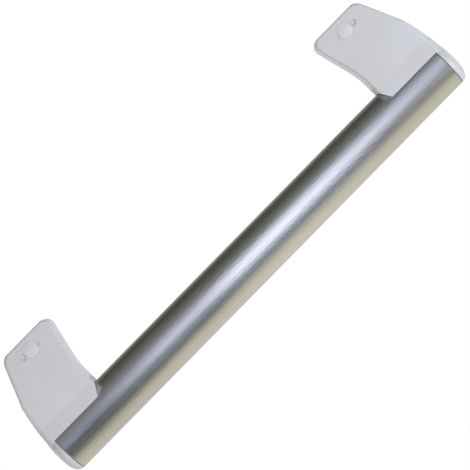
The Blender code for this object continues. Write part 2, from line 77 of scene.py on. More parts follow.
# %% Place the camera
LENS = 180
FILM_WIDTH = 36
CAMERA_DISTANCE = 1344 * MM
CAMERA_SHIFT = -0.6 * MM
CAMERA_HEIGHT = 44.7 * MM
CAMERA_ROLL = -134.5 * DEGREE
camera_data = bpy.data.cameras.new("camera")
camera_data.lens = LENS
camera_data.sensor_width = FILM_WIDTH
camera = bpy.data.objects.new("camera", camera_data)
bpy.context.scene.collection.objects.link(camera)
camera.location = (CAMERA_SHIFT, -CAMERA_DISTANCE, CAMERA_HEIGHT)
camera.rotation_euler = (90 * DEGREE, CAMERA_ROLL, 0)
bpy.context.scene.camera = camera
bpy.context.scene.view_settings.view_transform = "Standard"
print("camera at", [round(value, 4) for value in camera.location])

# %% [markdown]
# ## Floor and background
#
# The background is plain white. A white world and a pale floor give it, and both show white to the
# camera and in reflections. The floor's own pale coat catches the soft shadow under the feet.

# %% Helpers that build a material
def new_material(name):
    """Return the new material with its node list and its link list."""
    material = bpy.data.materials.new(name)
    material.use_nodes = True
    return material, material.node_tree.nodes, material.node_tree.links


def add_node(nodes, kind, **settings):
    """Add one node and set its options by name."""
    node = nodes.new(kind)
    for setting, value in settings.items():
        setattr(node, setting, value)
    return node


def seen_directly(nodes, links):
    """1 for rays from the camera, a mirror or a clear body, 0 for rays that only carry light."""
    path = add_node(nodes, "ShaderNodeLightPath")
    total = path.outputs["Is Camera Ray"]
    for ray in ("Is Glossy Ray", "Is Transmission Ray"):
        larger = add_node(nodes, "ShaderNodeMath", operation="MAXIMUM")
        links.new(total, larger.inputs[0])
        links.new(path.outputs[ray], larger.inputs[1])
        total = larger.outputs[0]
    return total


# %% White world
WORLD_LIGHT = 0.62
WHITE = (1, 1, 1, 1)
world = bpy.data.worlds.new("studio")
world.use_nodes = True
bpy.context.scene.world = world
world_nodes, world_links = world.node_tree.nodes, world.node_tree.links
world_strength = add_node(world_nodes, "ShaderNodeMapRange")
world_strength.inputs["To Min"].default_value = WORLD_LIGHT
world_strength.inputs["To Max"].default_value = 1
world_links.new(seen_directly(world_nodes, world_links), world_strength.inputs["Value"])
world_back = world_nodes["Background"]
world_back.inputs["Color"].default_value = WHITE
world_links.new(world_strength.outputs[0], world_back.inputs["Strength"])
print("world light:", WORLD_LIGHT)

# %% Pale floor
FLOOR_SIZE = 8
FLOOR_COAT = 0.45
FLOOR_GLOW = 0.73
FLOOR_ROUGHNESS = 0.9
floor_material, nodes, links = new_material("pale_floor")
floor_shader = nodes["Principled BSDF"]
floor_shader.inputs["Base Color"].default_value = (FLOOR_COAT, FLOOR_COAT, FLOOR_COAT, 1)
floor_shader.inputs["Roughness"].default_value = FLOOR_ROUGHNESS
floor_shader.inputs["Specular IOR Level"].default_value = 0
floor_shader.inputs["Emission Color"].default_value = WHITE
floor_glow = add_node(nodes, "ShaderNodeMath", operation="MULTIPLY")
floor_glow.inputs[1].default_value = FLOOR_GLOW
links.new(seen_directly(nodes, links), floor_glow.inputs[0])
links.new(floor_glow.outputs[0], floor_shader.inputs["Emission Strength"])

bpy.ops.object.select_all(action="DESELECT")
bpy.ops.mesh.primitive_plane_add(size=FLOOR_SIZE)
floor = bpy.context.object
floor.name = "floor"
floor.data.materials.append(floor_material)
print("floor:", FLOOR_SIZE, "m wide")

# %% [markdown]
# ## Lights
#
# Two large soft lamps stand well out to either side of the camera. Flat faces get an even light from
# both, and the rounded long edges, which turn towards one lamp, catch a soft line. The stronger lamp is
# towards the upper end of the handle, so the upper bracket is a little lighter than the lower one. A
# weaker lamp behind keeps the back of the handle from going dull.

# %% Soft lamps
# Name, place, side length in metres, power in watts
LAMPS = (
    ("key_lamp", (-1.0, -1.1, 0.6), 0.7, 13),
    ("fill_lamp", (1.1, -1.0, 0.6), 0.7, 5),
    ("back_lamp", (0, 1.3, 0.8), 0.9, 4),
)
LAMP_AIM = Vector((0, 0, 40 * MM))


def soft_lamp(name, place, side, power):
    """A square softbox at a place, turned towards the handle."""
    lamp_data = bpy.data.lights.new(name, "AREA")
    lamp_data.size = side
    lamp_data.energy = power
    lamp = bpy.data.objects.new(name, lamp_data)
    bpy.context.scene.collection.objects.link(lamp)
    lamp.location = place
    lamp.rotation_euler = (LAMP_AIM - Vector(place)).to_track_quat("-Z", "Y").to_euler()
    print(name, power, "W")


for lamp_row in LAMPS:
    soft_lamp(*lamp_row)

# %% [markdown]
# ## Reflection tent
#
# A steel tube is a long mirror: what it shows is the room, squeezed into lines along its length. The
# photograph has one bright line along the middle, a dark one on the door's side and a warm grey one on
# the far side. A photographer makes these with cards around the piece. Here one round card does it, seen
# by nothing but reflections. It is clear from outside and hangs high, so the plastic below the tube
# keeps its own sheen.
#
# A few tones are enough, because the brushed steel blurs them into each other. They are listed as they
# show on the tube, by how many mm off its middle a line lies, with the door's side as plus. Where on the
# card a line looks follows from the law of reflection. The card's glow is then a Color Ramp over the
# angle round the tube. A second ramp over that angle adds the bright line, and a third, along the tube,
# dims that line towards the ends.

# %% Tones of the tent
TENT_RADIUS = 40 * MM
TENT_LENGTH = 900 * MM
TENT_LIFT = 21 * MM
TENT_SIDES = 96
# The steel's own tone, which the card's glow makes up for
STEEL_TONE = 0.65
ROOM_TONES = (
    (-14.9, (0.4, 0.4, 0.34)),
    (-12, (0.47, 0.45, 0.37)),
    (-9, (0.4, 0.38, 0.3)),
    (-5, (0.01, 0.01, 0.01)),
    (-2, (0.04, 0.04, 0.07)),
    (1.5, (0.23, 0.23, 0.3)),
    (6, (0.17, 0.17, 0.18)),
    (11, (0.07, 0.07, 0.06)),
    (13, (0.05, 0.05, 0.04)),
    (14.9, (0.4, 0.4, 0.36)),
)
LINE_TONES = (
    (-14.9, (0.05, 0.05, 0.05)),
    (-5, (0.11, 0.11, 0.12)),
    (-2, (0.3, 0.34, 0.42)),
    (0.5, (0.76, 0.83, 0.9)),
    (3, (0.56, 0.6, 0.66)),
    (6.5, (0.03, 0.03, 0.05)),
    (9, (0, 0, 0)),
)
# How bright the line is at places along the tube, in mm from its middle
LINE_ALONG = (
    (-165, 0.25), (-110, 0.52), (-65, 0.87), (-20, 1), (10, 0.93), (42, 0.5), (75, 0.42), (130, 0.03),
)
ALONG_REACH = 170
HALF_TURN = 180
BLACK = (0, 0, 0)
ELSEWHERE = (0.68, 0.68, 0.68)


def ramp(nodes, links, value, unit, reach, stops):
    """A Color Ramp over a value from minus its reach to plus its reach, in a unit."""
    ranger = add_node(nodes, "ShaderNodeMapRange")
    ranger.inputs["From Min"].default_value = -reach * unit
    ranger.inputs["From Max"].default_value = reach * unit
    links.new(value, ranger.inputs["Value"])
    node = add_node(nodes, "ShaderNodeValToRGB")
    elements = node.color_ramp.elements
    elements.remove(elements[-1])
    for index, (place, tone) in enumerate(stops):
        share = (place + reach) / (2 * reach)
        element = elements[0] if index == 0 else elements.new(share)
        element.position = share
        element.color = (*tone, 1)
    links.new(ranger.outputs[0], node.inputs["Fac"])
    return node.outputs["Color"]


def card_angle(line):
    """Where round the tube's axis the card shows in the tube's line so many mm off its middle."""
    turn = math.asin(line * MM / TUBE_RADIUS)
    start = TUBE_RADIUS * Vector((math.cos(turn), math.sin(turn)))
    way = Vector((math.cos(2 * turn), math.sin(2 * turn)))
    from_middle = start + Vector((0, TENT_LIFT))
    ahead = from_middle.dot(way)
    reach = math.sqrt(ahead**2 - from_middle.length_squared + TENT_RADIUS**2) - ahead
    seen = start + reach * way
    return math.atan2(seen.y, seen.x) / DEGREE


def round_card(tones, outside):
    """Turn tones by line into tones by angle, with one tone for the angles that no line sees."""
    seen = [(card_angle(line), tone) for line, tone in tones]
    return [(-HALF_TURN, outside)] + seen + [(HALF_TURN, outside)]


def vector_math(nodes, links, operation, one, other):
    """Add or multiply two colours."""
    node = add_node(nodes, "ShaderNodeVectorMath", operation=operation)
    links.new(one, node.inputs[0])
    links.new(other, node.inputs[1])
    return node.outputs[0]


def tent_glow():
    """The tent's material: room and bright line inside, and clear from outside."""
    material, nodes, links = new_material("tent_glow")
    nodes.clear()
    place = add_node(nodes, "ShaderNodeTexCoord")
    mapping = add_node(nodes, "ShaderNodeMapping")
    mapping.inputs["Location"].default_value = (0, 0, AXIS_HEIGHT)
    mapping.inputs["Scale"].default_value = (1, -1, -1)
    split = add_node(nodes, "ShaderNodeSeparateXYZ")
    links.new(place.outputs["Object"], mapping.inputs["Vector"])
    links.new(mapping.outputs[0], split.inputs[0])
    arctan = add_node(nodes, "ShaderNodeMath", operation="ARCTAN2")
    links.new(split.outputs["Z"], arctan.inputs[0])
    links.new(split.outputs["Y"], arctan.inputs[1])
    angle = arctan.outputs[0]
    shares = [(x, (share, share, share)) for x, share in LINE_ALONG]
    room = ramp(nodes, links, angle, DEGREE, HALF_TURN, round_card(ROOM_TONES, ELSEWHERE))
    line = ramp(nodes, links, angle, DEGREE, HALF_TURN, round_card(LINE_TONES, BLACK))
    along = ramp(nodes, links, split.outputs["X"], MM, ALONG_REACH, shares)
    dimmed = vector_math(nodes, links, "MULTIPLY", line, along)
    glow = add_node(nodes, "ShaderNodeEmission")
    glow.inputs["Strength"].default_value = 1 / STEEL_TONE
    links.new(vector_math(nodes, links, "ADD", room, dimmed), glow.inputs["Color"])
    inside = add_node(nodes, "ShaderNodeNewGeometry")
    clear = add_node(nodes, "ShaderNodeBsdfTransparent")
    mix = add_node(nodes, "ShaderNodeMixShader")
    output = add_node(nodes, "ShaderNodeOutputMaterial")
    links.new(inside.outputs["Backfacing"], mix.inputs[0])
    links.new(clear.outputs[0], mix.inputs[1])
    links.new(glow.outputs[0], mix.inputs[2])
    links.new(mix.outputs[0], output.inputs["Surface"])
    return material


# %% Hang the tent
bpy.ops.object.select_all(action="DESELECT")
bpy.ops.mesh.primitive_cylinder_add(
    vertices=TENT_SIDES,
    radius=TENT_RADIUS,
    depth=TENT_LENGTH,
    end_fill_type="NOTHING",
    location=(0, 0, AXIS_HEIGHT + TENT_LIFT),
    rotation=(0, 90 * DEGREE, 0),
)
tent = bpy.context.object
tent.name = "reflection_tent"
bpy.ops.object.transform_apply(location=True, rotation=True, scale=True)
tent.data.materials.append(tent_glow())
for ray in ("camera", "diffuse", "transmission", "volume_scatter", "shadow"):
    setattr(tent, "visible_" + ray, False)
print("tent:", len(tent.data.polygons), "faces")

# %% [markdown]
# ## Moulded plastic
#
# The brackets are moulded in a pale cool grey with a satin face. A mould leaves a very fine grain, and
# the colour drifts a little over the part, from a plain grey to a bluer one. Both come from noise on
# Object coordinates, which stay put on the piece. The drift goes to the base colour and the grain to
# Bump, and a noise of its own, between the two in size, varies the roughness.

# %% Noise that a finish reads
NOISE_LOW = 0.3
NOISE_HIGH = 0.7


def noise(nodes, links, scale, detail, stretch=(1, 1, 1)):
    """Noise on Object coordinates, stretched by a Mapping node. Scale counts spots to the metre."""
    place = add_node(nodes, "ShaderNodeTexCoord")
    mapping = add_node(nodes, "ShaderNodeMapping")
    mapping.inputs["Scale"].default_value = stretch
    texture = add_node(nodes, "ShaderNodeTexNoise")
    texture.inputs["Scale"].default_value = scale
    texture.inputs["Detail"].default_value = detail
    links.new(place.outputs["Object"], mapping.inputs["Vector"])
    links.new(mapping.outputs[0], texture.inputs["Vector"])
    return texture.outputs["Fac"]


def spread(nodes, links, value, low, high):
    """Stretch the middle of a noise value between a low and a high value."""
    ranger = add_node(nodes, "ShaderNodeMapRange")
    ranger.inputs["From Min"].default_value = NOISE_LOW
    ranger.inputs["From Max"].default_value = NOISE_HIGH
    ranger.inputs["To Min"].default_value = low
    ranger.inputs["To Max"].default_value = high
    links.new(value, ranger.inputs["Value"])
    return ranger.outputs[0]


def two_tone(nodes, links, value, one, other):
    """Mix two colours by a noise value."""
    mix = add_node(nodes, "ShaderNodeMix", data_type="RGBA")
    links.new(spread(nodes, links, value, 0, 1), mix.inputs["Factor"])
    mix.inputs["A"].default_value = (*one, 1)
    mix.inputs["B"].default_value = (*other, 1)
    return mix.outputs["Result"]


def bump(nodes, links, height, strength, distance):
    """Turn a height into a bumped normal."""
    node = add_node(nodes, "ShaderNodeBump")
    node.inputs["Strength"].default_value = strength
    node.inputs["Distance"].default_value = distance
    links.new(height, node.inputs["Height"])
    return node.outputs["Normal"]


# %% Satin moulded plastic
DRIFT_SCALE = 35
SHEEN_SCALE = 900
GRAIN_SCALE = 2600
FINE_DEPTH = 0.02 * MM
SHEEN_SPREAD = 0.05


def moulded_plastic(name, one, other, grain, roughness):
    """Pale plastic with a drift of colour and a fine mould grain."""
    material, nodes, links = new_material(name)
    shader = nodes["Principled BSDF"]
    drift = noise(nodes, links, DRIFT_SCALE, detail=3)
    links.new(two_tone(nodes, links, drift, one, other), shader.inputs["Base Color"])
    sheen = noise(nodes, links, SHEEN_SCALE, detail=4)
    rough = spread(nodes, links, sheen, roughness - SHEEN_SPREAD, roughness + SHEEN_SPREAD)
    links.new(rough, shader.inputs["Roughness"])
    fine = noise(nodes, links, GRAIN_SCALE, detail=2)
    links.new(bump(nodes, links, fine, grain, FINE_DEPTH), shader.inputs["Normal"])
    return material


bracket_plastic = moulded_plastic(
    "bracket_plastic", (0.57, 0.57, 0.59), (0.59, 0.605, 0.66), grain=0.35, roughness=0.36
)
# The covers are a little lighter than the brackets. That lift is painted highlight, standing in for the
# spot of light on their crowns.
cover_plastic = moulded_plastic(
    "cover_plastic", (0.60, 0.605, 0.64), (0.64, 0.645, 0.68), grain=0.25, roughness=0.34
)
print("plastics:", bracket_plastic.name, cover_plastic.name)

# %% [markdown]
# ## Brushed steel
#
# The tube is brushed along its length. Each scratch is long and narrow, so the noise is drawn out along
# X and left fine across the tube. A picture of scratches would need to be wrapped round the tube, and
# would show where it repeats. Fine scratches change the colour a little, broader bands change the
# roughness, and short dashes, where the belt pressed harder, tip the surface enough to break the edge of
# a reflection. The dashes come and go along the tube, so a slow noise turns them up and down.

# %% Brushed steel
# Marks to the metre along the tube, then across it
SCRATCH_MARKS = (30, 1500, 1500)
BAND_MARKS = (5, 260, 260)
DASH_MARKS = (200, 900, 900)
PATCH_MARKS = (22, 60, 60)
FAINTEST_DASH = 0.15
SCRATCH_SHARE = 0.1
DASH_DEPTH = 0.24 * MM


def brushed_steel(name, dark, light, smoothest, roughest):
    """Bare steel brushed along X, with scratches, bands and dashes."""
    material, nodes, links = new_material(name)
    shader = nodes["Principled BSDF"]
    shader.inputs["Metallic"].default_value = 1
    scratches = noise(nodes, links, scale=1, detail=3, stretch=SCRATCH_MARKS)
    bands = noise(nodes, links, scale=1, detail=2, stretch=BAND_MARKS)
    dashes = noise(nodes, links, scale=1, detail=3, stretch=DASH_MARKS)
    patches = noise(nodes, links, scale=1, detail=1, stretch=PATCH_MARKS)
    pressed = add_node(nodes, "ShaderNodeMath", operation="MULTIPLY")
    links.new(dashes, pressed.inputs[0])
    links.new(spread(nodes, links, patches, FAINTEST_DASH, 1), pressed.inputs[1])
    height = add_node(nodes, "ShaderNodeMath", operation="MULTIPLY_ADD")
    height.inputs[1].default_value = SCRATCH_SHARE
    links.new(scratches, height.inputs[0])
    links.new(pressed.outputs[0], height.inputs[2])
    links.new(two_tone(nodes, links, scratches, dark, light), shader.inputs["Base Color"])
    links.new(spread(nodes, links, bands, smoothest, roughest), shader.inputs["Roughness"])
    dented = bump(nodes, links, height.outputs[0], strength=1, distance=DASH_DEPTH)
    links.new(dented, shader.inputs["Normal"])
    return material


tube_steel = brushed_steel(
    "brushed_steel", (0.61, 0.61, 0.61), (0.69, 0.69, 0.69), smoothest=0.25, roughest=0.32
)
print("steel:", len(tube_steel.node_tree.nodes), "nodes")

# %% [markdown]
# ## Zinc plate and brass
#
# The stud sockets, screws and thread inserts sit inside the feet. Zinc plate is a pale, slightly cloudy
# metal, and turned brass shows fine rings. One function makes both, each with its own noise.

# %% Zinc plate and brass
# Marks to the metre along X, Y and Z
CLOUD_MARKS = (400, 400, 400)
RING_MARKS = (150, 1800, 150)
CLOUD_BUMP = 0.15


def clouded_metal(name, dark, light, marks, smoothest, roughest):
    """Metal whose colour, roughness and height all follow one noise."""
    material, nodes, links = new_material(name)
    shader = nodes["Principled BSDF"]
    shader.inputs["Metallic"].default_value = 1
    cloud = noise(nodes, links, scale=1, detail=3, stretch=marks)
    links.new(two_tone(nodes, links, cloud, dark, light), shader.inputs["Base Color"])
    links.new(spread(nodes, links, cloud, smoothest, roughest), shader.inputs["Roughness"])
    links.new(bump(nodes, links, cloud, CLOUD_BUMP, FINE_DEPTH), shader.inputs["Normal"])
    return material


zinc_plate = clouded_metal(
    "zinc_plate", (0.46, 0.48, 0.52), (0.60, 0.61, 0.63), CLOUD_MARKS, smoothest=0.24, roughest=0.42
)
turned_brass = clouded_metal(
    "turned_brass", (0.68, 0.47, 0.20), (0.82, 0.62, 0.32), RING_MARKS, smoothest=0.2, roughest=0.36
)
print("metals:", zinc_plate.name, turned_brass.name)

# %% [markdown]
# ## Modelling helpers
#
# Operators act on whatever is selected, so each step first picks one piece. Faces and edges are chosen
# in code, by their place or by how sharp they are, and edit mode then works on them as by hand.

# %% Pick one piece
def pick(piece):
    """Go to object mode with only this piece selected and active."""
    if bpy.context.mode != "OBJECT":
        bpy.ops.object.mode_set(mode="OBJECT")
    bpy.ops.object.select_all(action="DESELECT")
    piece.select_set(True)
    bpy.context.view_layer.objects.active = piece
    return piece


def edit(piece, kind):
    """Go to edit mode with nothing selected."""
    pick(piece)
    bpy.ops.object.mode_set(mode="EDIT")
    bpy.ops.mesh.select_mode(type=kind)
    bpy.ops.mesh.select_all(action="DESELECT")


def fix(name):
    """Name what was just added, with its place, turn and size kept in its mesh."""
    piece = bpy.context.object
    piece.name = name
    piece.data.name = name
    bpy.ops.object.transform_apply(location=True, rotation=True, scale=True)
    return piece


# %% Tools that cut or add
ROUND_SIDES = 64


def rod(name, radius, start, end, sides=ROUND_SIDES):
    """A cylinder from one point to another."""
    bpy.ops.object.select_all(action="DESELECT")
    along = Vector(end) - Vector(start)
    bpy.ops.mesh.primitive_cylinder_add(
        vertices=sides,
        radius=radius,
        depth=along.length,
        location=Vector(start) + along / 2,
        rotation=along.to_track_quat("Z", "Y").to_euler(),
    )
    return fix(name)


def block(name, low, high):
    """A box between two corners."""
    bpy.ops.object.select_all(action="DESELECT")
    size = Vector(high) - Vector(low)
    bpy.ops.mesh.primitive_cube_add(size=1, location=Vector(low) + size / 2, scale=size)
    return fix(name)


def use_tool(piece, tool, operation):
    """Cut with a tool or add it, apply the Boolean, and throw the tool away."""
    pick(piece)
    boolean = piece.modifiers.new(tool.name, "BOOLEAN")
    boolean.operation = operation
    boolean.solver = "EXACT"
    boolean.object = tool
    bpy.ops.object.modifier_apply(modifier=boolean.name)
    bpy.data.objects.remove(tool, do_unlink=True)


def cut(piece, *tools):
    for tool in tools:
        use_tool(piece, tool, "DIFFERENCE")


# %% Lathe
SEED_SIZE = 0.1 * MM
WELD = 0.001 * MM


def lathe(name, outline, centre, along, steps=ROUND_SIDES):
    """Draw an outline of (radius, distance) points, spin it round an axis and weld it."""
    centre, along = Vector(centre), Vector(along).normalized()
    side = along.orthogonal().normalized()
    points = [centre + side * radius + along * distance for radius, distance in outline]
    bpy.ops.object.select_all(action="DESELECT")
    bpy.ops.mesh.primitive_plane_add(size=SEED_SIZE, location=points[0])
    piece = fix(name)
    edit(piece, "VERT")
    bpy.ops.mesh.select_all(action="SELECT")
    bpy.ops.mesh.merge(type="CENTER")
    for here, there in zip(points, points[1:]):
        bpy.ops.mesh.extrude_vertices_move(TRANSFORM_OT_translate={"value": there - here})
    bpy.ops.mesh.select_all(action="SELECT")
    bpy.ops.mesh.spin(steps=steps, angle=2 * math.pi, center=centre, axis=along)
    bpy.ops.mesh.select_all(action="SELECT")
    bpy.ops.mesh.remove_doubles(threshold=WELD)
    bpy.ops.mesh.normals_make_consistent(inside=False)
    return pick(piece)


# %% Finish a piece
SMOOTH_ANGLE = 35 * DEGREE


def dress(piece, material, node):
    """Shade and colour a finished piece, seat it on the handle, and hide the node it stands for."""
    pick(piece)
    bpy.ops.object.shade_smooth_by_angle(angle=SMOOTH_ANGLE)
    weighted = piece.modifiers.new("Flat faces", "WEIGHTED_NORMAL")
    weighted.keep_sharp = True
    bpy.ops.object.modifier_apply(modifier=weighted.name)
    piece.data.materials.clear()
    piece.data.materials.append(material)
    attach(piece, "root")
    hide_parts(node)
    size = [round(side / MM, 1) for side in piece.dimensions]
    print(f"{piece.name}: {len(piece.data.polygons)} faces, {size} mm")


def dress_both(piece, material, node):
    """Mirror a piece of the lower end for the upper end, and finish both."""
    pick(piece)
    bpy.ops.object.duplicate(linked=False)
    bpy.ops.transform.resize(value=(-1, 1, 1), center_override=(0, 0, 0))
    twin = fix(piece.name.replace("lower", "upper"))
    edit(twin, "FACE")
    bpy.ops.mesh.select_all(action="SELECT")
    bpy.ops.mesh.normals_make_consistent(inside=False)
    dress(piece, material, "lower_" + node)
    dress(twin, material, "upper_" + node)


# %% [markdown]
# ## The tube
#
# The tube is a plain length of steel pipe with its sharp edges broken. A cylinder with its bore cut out
# would still need its edges bevelled. A lathe outline gives the wall, the bore and the edge breaks in one
# go. The holes for its four screws face down into the saddles.

# %% Model the tube
TUBE_SIDES = 160
HOLE_SIDES = 32
TUBE_WALL = 1.2 * MM
EDGE_BREAK = 0.25 * MM
SCREW_PITCH = 10 * MM
TUBE_SCREW_RADIUS = 1.7 * MM
GAP = 0.3 * MM
bore = TUBE_RADIUS - TUBE_WALL
rim = TUBE_HALF - EDGE_BREAK
swell = EDGE_BREAK / 4
tube_outline = [
    (bore, -TUBE_HALF),
    (TUBE_RADIUS - EDGE_BREAK, -TUBE_HALF),
    (TUBE_RADIUS - swell, -rim - swell),
    (TUBE_RADIUS, -rim),
    (TUBE_RADIUS, rim),
    (TUBE_RADIUS - swell, rim + swell),
    (TUBE_RADIUS - EDGE_BREAK, TUBE_HALF),
    (bore, TUBE_HALF),
    (bore, -TUBE_HALF),
]
tube = lathe("tube", tube_outline, (0, 0, AXIS_HEIGHT), (1, 0, 0), TUBE_SIDES)
screw_places = {"inner": STUD_X, "outer": STUD_X + SCREW_PITCH}
for x in screw_places.values():
    for side in (-1, 1):
        hole_start = (side * x, 0, AXIS_HEIGHT - 2 * TUBE_RADIUS)
        hole_end = (side * x, 0, AXIS_HEIGHT)
        cut(tube, rod("screw_hole", TUBE_SCREW_RADIUS + GAP, hole_start, hole_end, HOLE_SIDES))
dress(tube, tube_steel, "grip_tube")

# %% [markdown]
# ## The bracket's leg
#
# Seen from the side, the leg leans out from the foot to a crease, then bows up to the cap. Pushing that
# side view straight across would make the foot as wide as the top. So a plane is extruded upwards level
# by level, and each new level is moved and resized to fit the leg's two edges and its width. The long
# corners are rounded after that by a Bevel whose weight grows towards the cap.

# %% The leg's edges
TOP_LENGTH = 44.9 * MM
UPRIGHT_HEIGHT = 37.7 * MM
BEND_RADIUS = 45 * MM
INNER_LEAN = 14 * DEGREE
CREASE_HEIGHT = 27.2 * MM
BOW_RADIUS = 142 * MM
BOW_RISE = 3.3 * MM
BOW_SET_BACK = 0.3 * MM
OUTER_LEAN = 22.8 * DEGREE
GRIP_WIDTH = 26.4 * MM
FOOT_WIDTH = 24 * MM


def inner_edge(height):
    """X of the inner face: leaning at the foot, bent, then upright below the tube."""
    drop = UPRIGHT_HEIGHT - height
    bend = BEND_RADIUS * math.sin(INNER_LEAN)
    if drop <= 0:
        return END - TOP_LENGTH
    if drop < bend:
        return END - TOP_LENGTH - BEND_RADIUS + math.sqrt(BEND_RADIUS**2 - drop**2)
    set_in = BEND_RADIUS * (1 - math.cos(INNER_LEAN))
    return END - TOP_LENGTH - set_in - (drop - bend) * math.tan(INNER_LEAN)


def outer_edge(height):
    """X of the outer face: leaning up to the crease, then bowed."""
    if height < CREASE_HEIGHT:
        return outer_edge(CREASE_HEIGHT) - (CREASE_HEIGHT - height) * math.tan(OUTER_LEAN)
    drop = AXIS_HEIGHT + BOW_RISE - height
    return END - BOW_SET_BACK - BOW_RADIUS + math.sqrt(BOW_RADIUS**2 - drop**2)


def half_width(height):
    """Half the leg's width across the tube: a little narrower at the foot."""
    return (FOOT_WIDTH + (GRIP_WIDTH - FOOT_WIDTH) * min(height / CREASE_HEIGHT, 1)) / 2


print(f"foot {(outer_edge(0) - inner_edge(0)) / MM:.1f} mm long before its rounding")


# %% Stack levels and round their corners
CORNER_STEPS = 6
LEVEL_TOLERANCE = 0.01 * MM


def stack(name, levels):
    """Extrude a plane up through levels of (height, low x, high x, half width)."""
    height, low, high, half = levels[0]
    bpy.ops.object.select_all(action="DESELECT")
    bpy.ops.mesh.primitive_plane_add(size=1, location=((low + high) / 2, 0, height))
    bpy.context.object.scale = (high - low, 2 * half, 1)
    piece = fix(name)
    edit(piece, "FACE")
    bpy.ops.mesh.select_all(action="SELECT")
    for before, after in zip(levels, levels[1:]):
        middle = (after[1] + after[2]) / 2
        rise = (middle - (before[1] + before[2]) / 2, 0, after[0] - before[0])
        bpy.ops.mesh.extrude_region_move(TRANSFORM_OT_translate={"value": rise})
        growth = ((after[2] - after[1]) / (before[2] - before[1]), after[3] / before[3], 1)
        bpy.ops.transform.resize(value=growth, center_override=(middle, 0, after[0]))
    bpy.ops.mesh.select_all(action="SELECT")
    bpy.ops.mesh.normals_make_consistent(inside=False)
    return pick(piece)


def round_corners(piece, inner_radius, outer_radius):
    """Bevel the four long corners, each edge by the radius that it needs at its height."""
    widest = outer_radius(AXIS_HEIGHT)
    weights = piece.data.attributes.new("bevel_weight_edge", "FLOAT", "EDGE")
    points = piece.data.vertices
    for edge in piece.data.edges:
        one, other = (points[index].co for index in edge.vertices)
        middle = (one + other) / 2
        if abs(one.z - other.z) > LEVEL_TOLERANCE:
            outer = middle.x > (inner_edge(middle.z) + outer_edge(middle.z)) / 2
            radius = outer_radius(middle.z) if outer else inner_radius
            weights.data[edge.index].value = radius / widest
    bevel = pick(piece).modifiers.new("Corners", "BEVEL")
    bevel.limit_method = "WEIGHT"
    bevel.width = widest
    bevel.segments = CORNER_STEPS
    bpy.ops.object.modifier_apply(modifier=bevel.name)


# %% Model the leg
FOOT_INNER_ROUND = 6.2 * MM
FOOT_OUTER_ROUND = 4 * MM
FOOT_SIDE_ROUND = 1 * MM
INNER_CORNER = 1.7 * MM
OUTER_CORNER_FOOT = 2.3 * MM
OUTER_CORNER_TOP = 5.5 * MM
FOOT_STEPS = 10
LEG_SHARES = (0.35, 0.7, 0.94)
BOW_STEPS = 20


def set_back(height, radius):
    """How far a rounded foot stands back at a height."""
    below = max(radius - height, 0)
    return radius - math.sqrt(radius**2 - below**2)


def outer_corner(height):
    """Radius of the outer corners: steady on the leg, then growing up to the cap."""
    share = max(height - CREASE_HEIGHT, 0) / (AXIS_HEIGHT - CREASE_HEIGHT)
    return OUTER_CORNER_FOOT + (OUTER_CORNER_TOP - OUTER_CORNER_FOOT) * share


def leg_level(height):
    low = inner_edge(height) + set_back(height, FOOT_INNER_ROUND)
    high = outer_edge(height) - set_back(height, FOOT_OUTER_ROUND)
    return (height, low, high, half_width(height) - set_back(height, FOOT_SIDE_ROUND))


leg_rise = CREASE_HEIGHT - FOOT_INNER_ROUND
bow_rise = AXIS_HEIGHT - CREASE_HEIGHT
foot_heights = [FOOT_INNER_ROUND * (step / FOOT_STEPS) ** 2 for step in range(FOOT_STEPS + 1)]
leg_heights = [FOOT_INNER_ROUND + leg_rise * share for share in LEG_SHARES]
bow_heights = [CREASE_HEIGHT + bow_rise * step / BOW_STEPS for step in range(BOW_STEPS + 1)]
all_heights = foot_heights + leg_heights + bow_heights
moulding = stack("lower_moulding", [leg_level(height) for height in all_heights])
round_corners(moulding, INNER_CORNER, outer_corner)
print("leg:", len(moulding.data.polygons), "faces")

# %% [markdown]
# ## Saddle, cheeks and cap
#
# The leg holds the tube in a round saddle, and its two cheeks slope back where the bare tube begins. The
# domed cap and the sleeve inside the tube's mouth are moulded in one with it. A moulding has no
# knife-sharp edge, so the edges round the saddle and the slope get a very small bevel. It catches a thin
# line of light.

# %% Cut the saddle and slope the cheeks
CAP_THICKNESS = 5.5 * MM
CHEEK_RUN = 4.4 * MM
CHEEK_RISE = 7.6 * MM
SADDLE_RADIUS = TUBE_RADIUS + GAP
saddle_start = (END - 2 * TOP_LENGTH, 0, AXIS_HEIGHT)
saddle_end = (END - CAP_THICKNESS, 0, AXIS_HEIGHT)
cut(moulding, rod("saddle", SADDLE_RADIUS, saddle_start, saddle_end, TUBE_SIDES))
edit(moulding, "FACE")
bpy.ops.mesh.select_all(action="SELECT")
bpy.ops.mesh.bisect(
    plane_co=(END - TOP_LENGTH, 0, AXIS_HEIGHT - TUBE_RADIUS),
    plane_no=(-CHEEK_RISE, 0, CHEEK_RUN),
    use_fill=True,
    clear_outer=True,
    threshold=WELD,
)
pick(moulding)
print("leg with its saddle:", len(moulding.data.polygons), "faces")

# %% Turn the cap and the sleeve in one
CAP_ROUND = 6.8 * MM
CAP_SKIN = 3 * MM
SLEEVE_LENGTH = 34 * MM
SLEEVE_WALL = 2.4 * MM
SLEEVE_LEAD = 1.2 * MM
DOME_STEPS = 12
dome = []
for step in range(DOME_STEPS + 1):
    angle = step / DOME_STEPS * 90 * DEGREE
    dome_radius = TUBE_RADIUS - CAP_ROUND * (1 - math.sin(angle))
    dome.append((dome_radius, CAP_THICKNESS * (math.cos(angle) - 1)))
sleeve = bore - GAP
sleeve_end = -CAP_THICKNESS - SLEEVE_LENGTH
cap_outline = [(0, 0)] + dome + [
    (sleeve, -CAP_THICKNESS),
    (sleeve, sleeve_end + SLEEVE_LEAD),
    (sleeve - SLEEVE_LEAD / 2, sleeve_end),
    (sleeve - SLEEVE_WALL, sleeve_end),
    (sleeve - SLEEVE_WALL, -CAP_SKIN),
    (0, -CAP_SKIN),
]
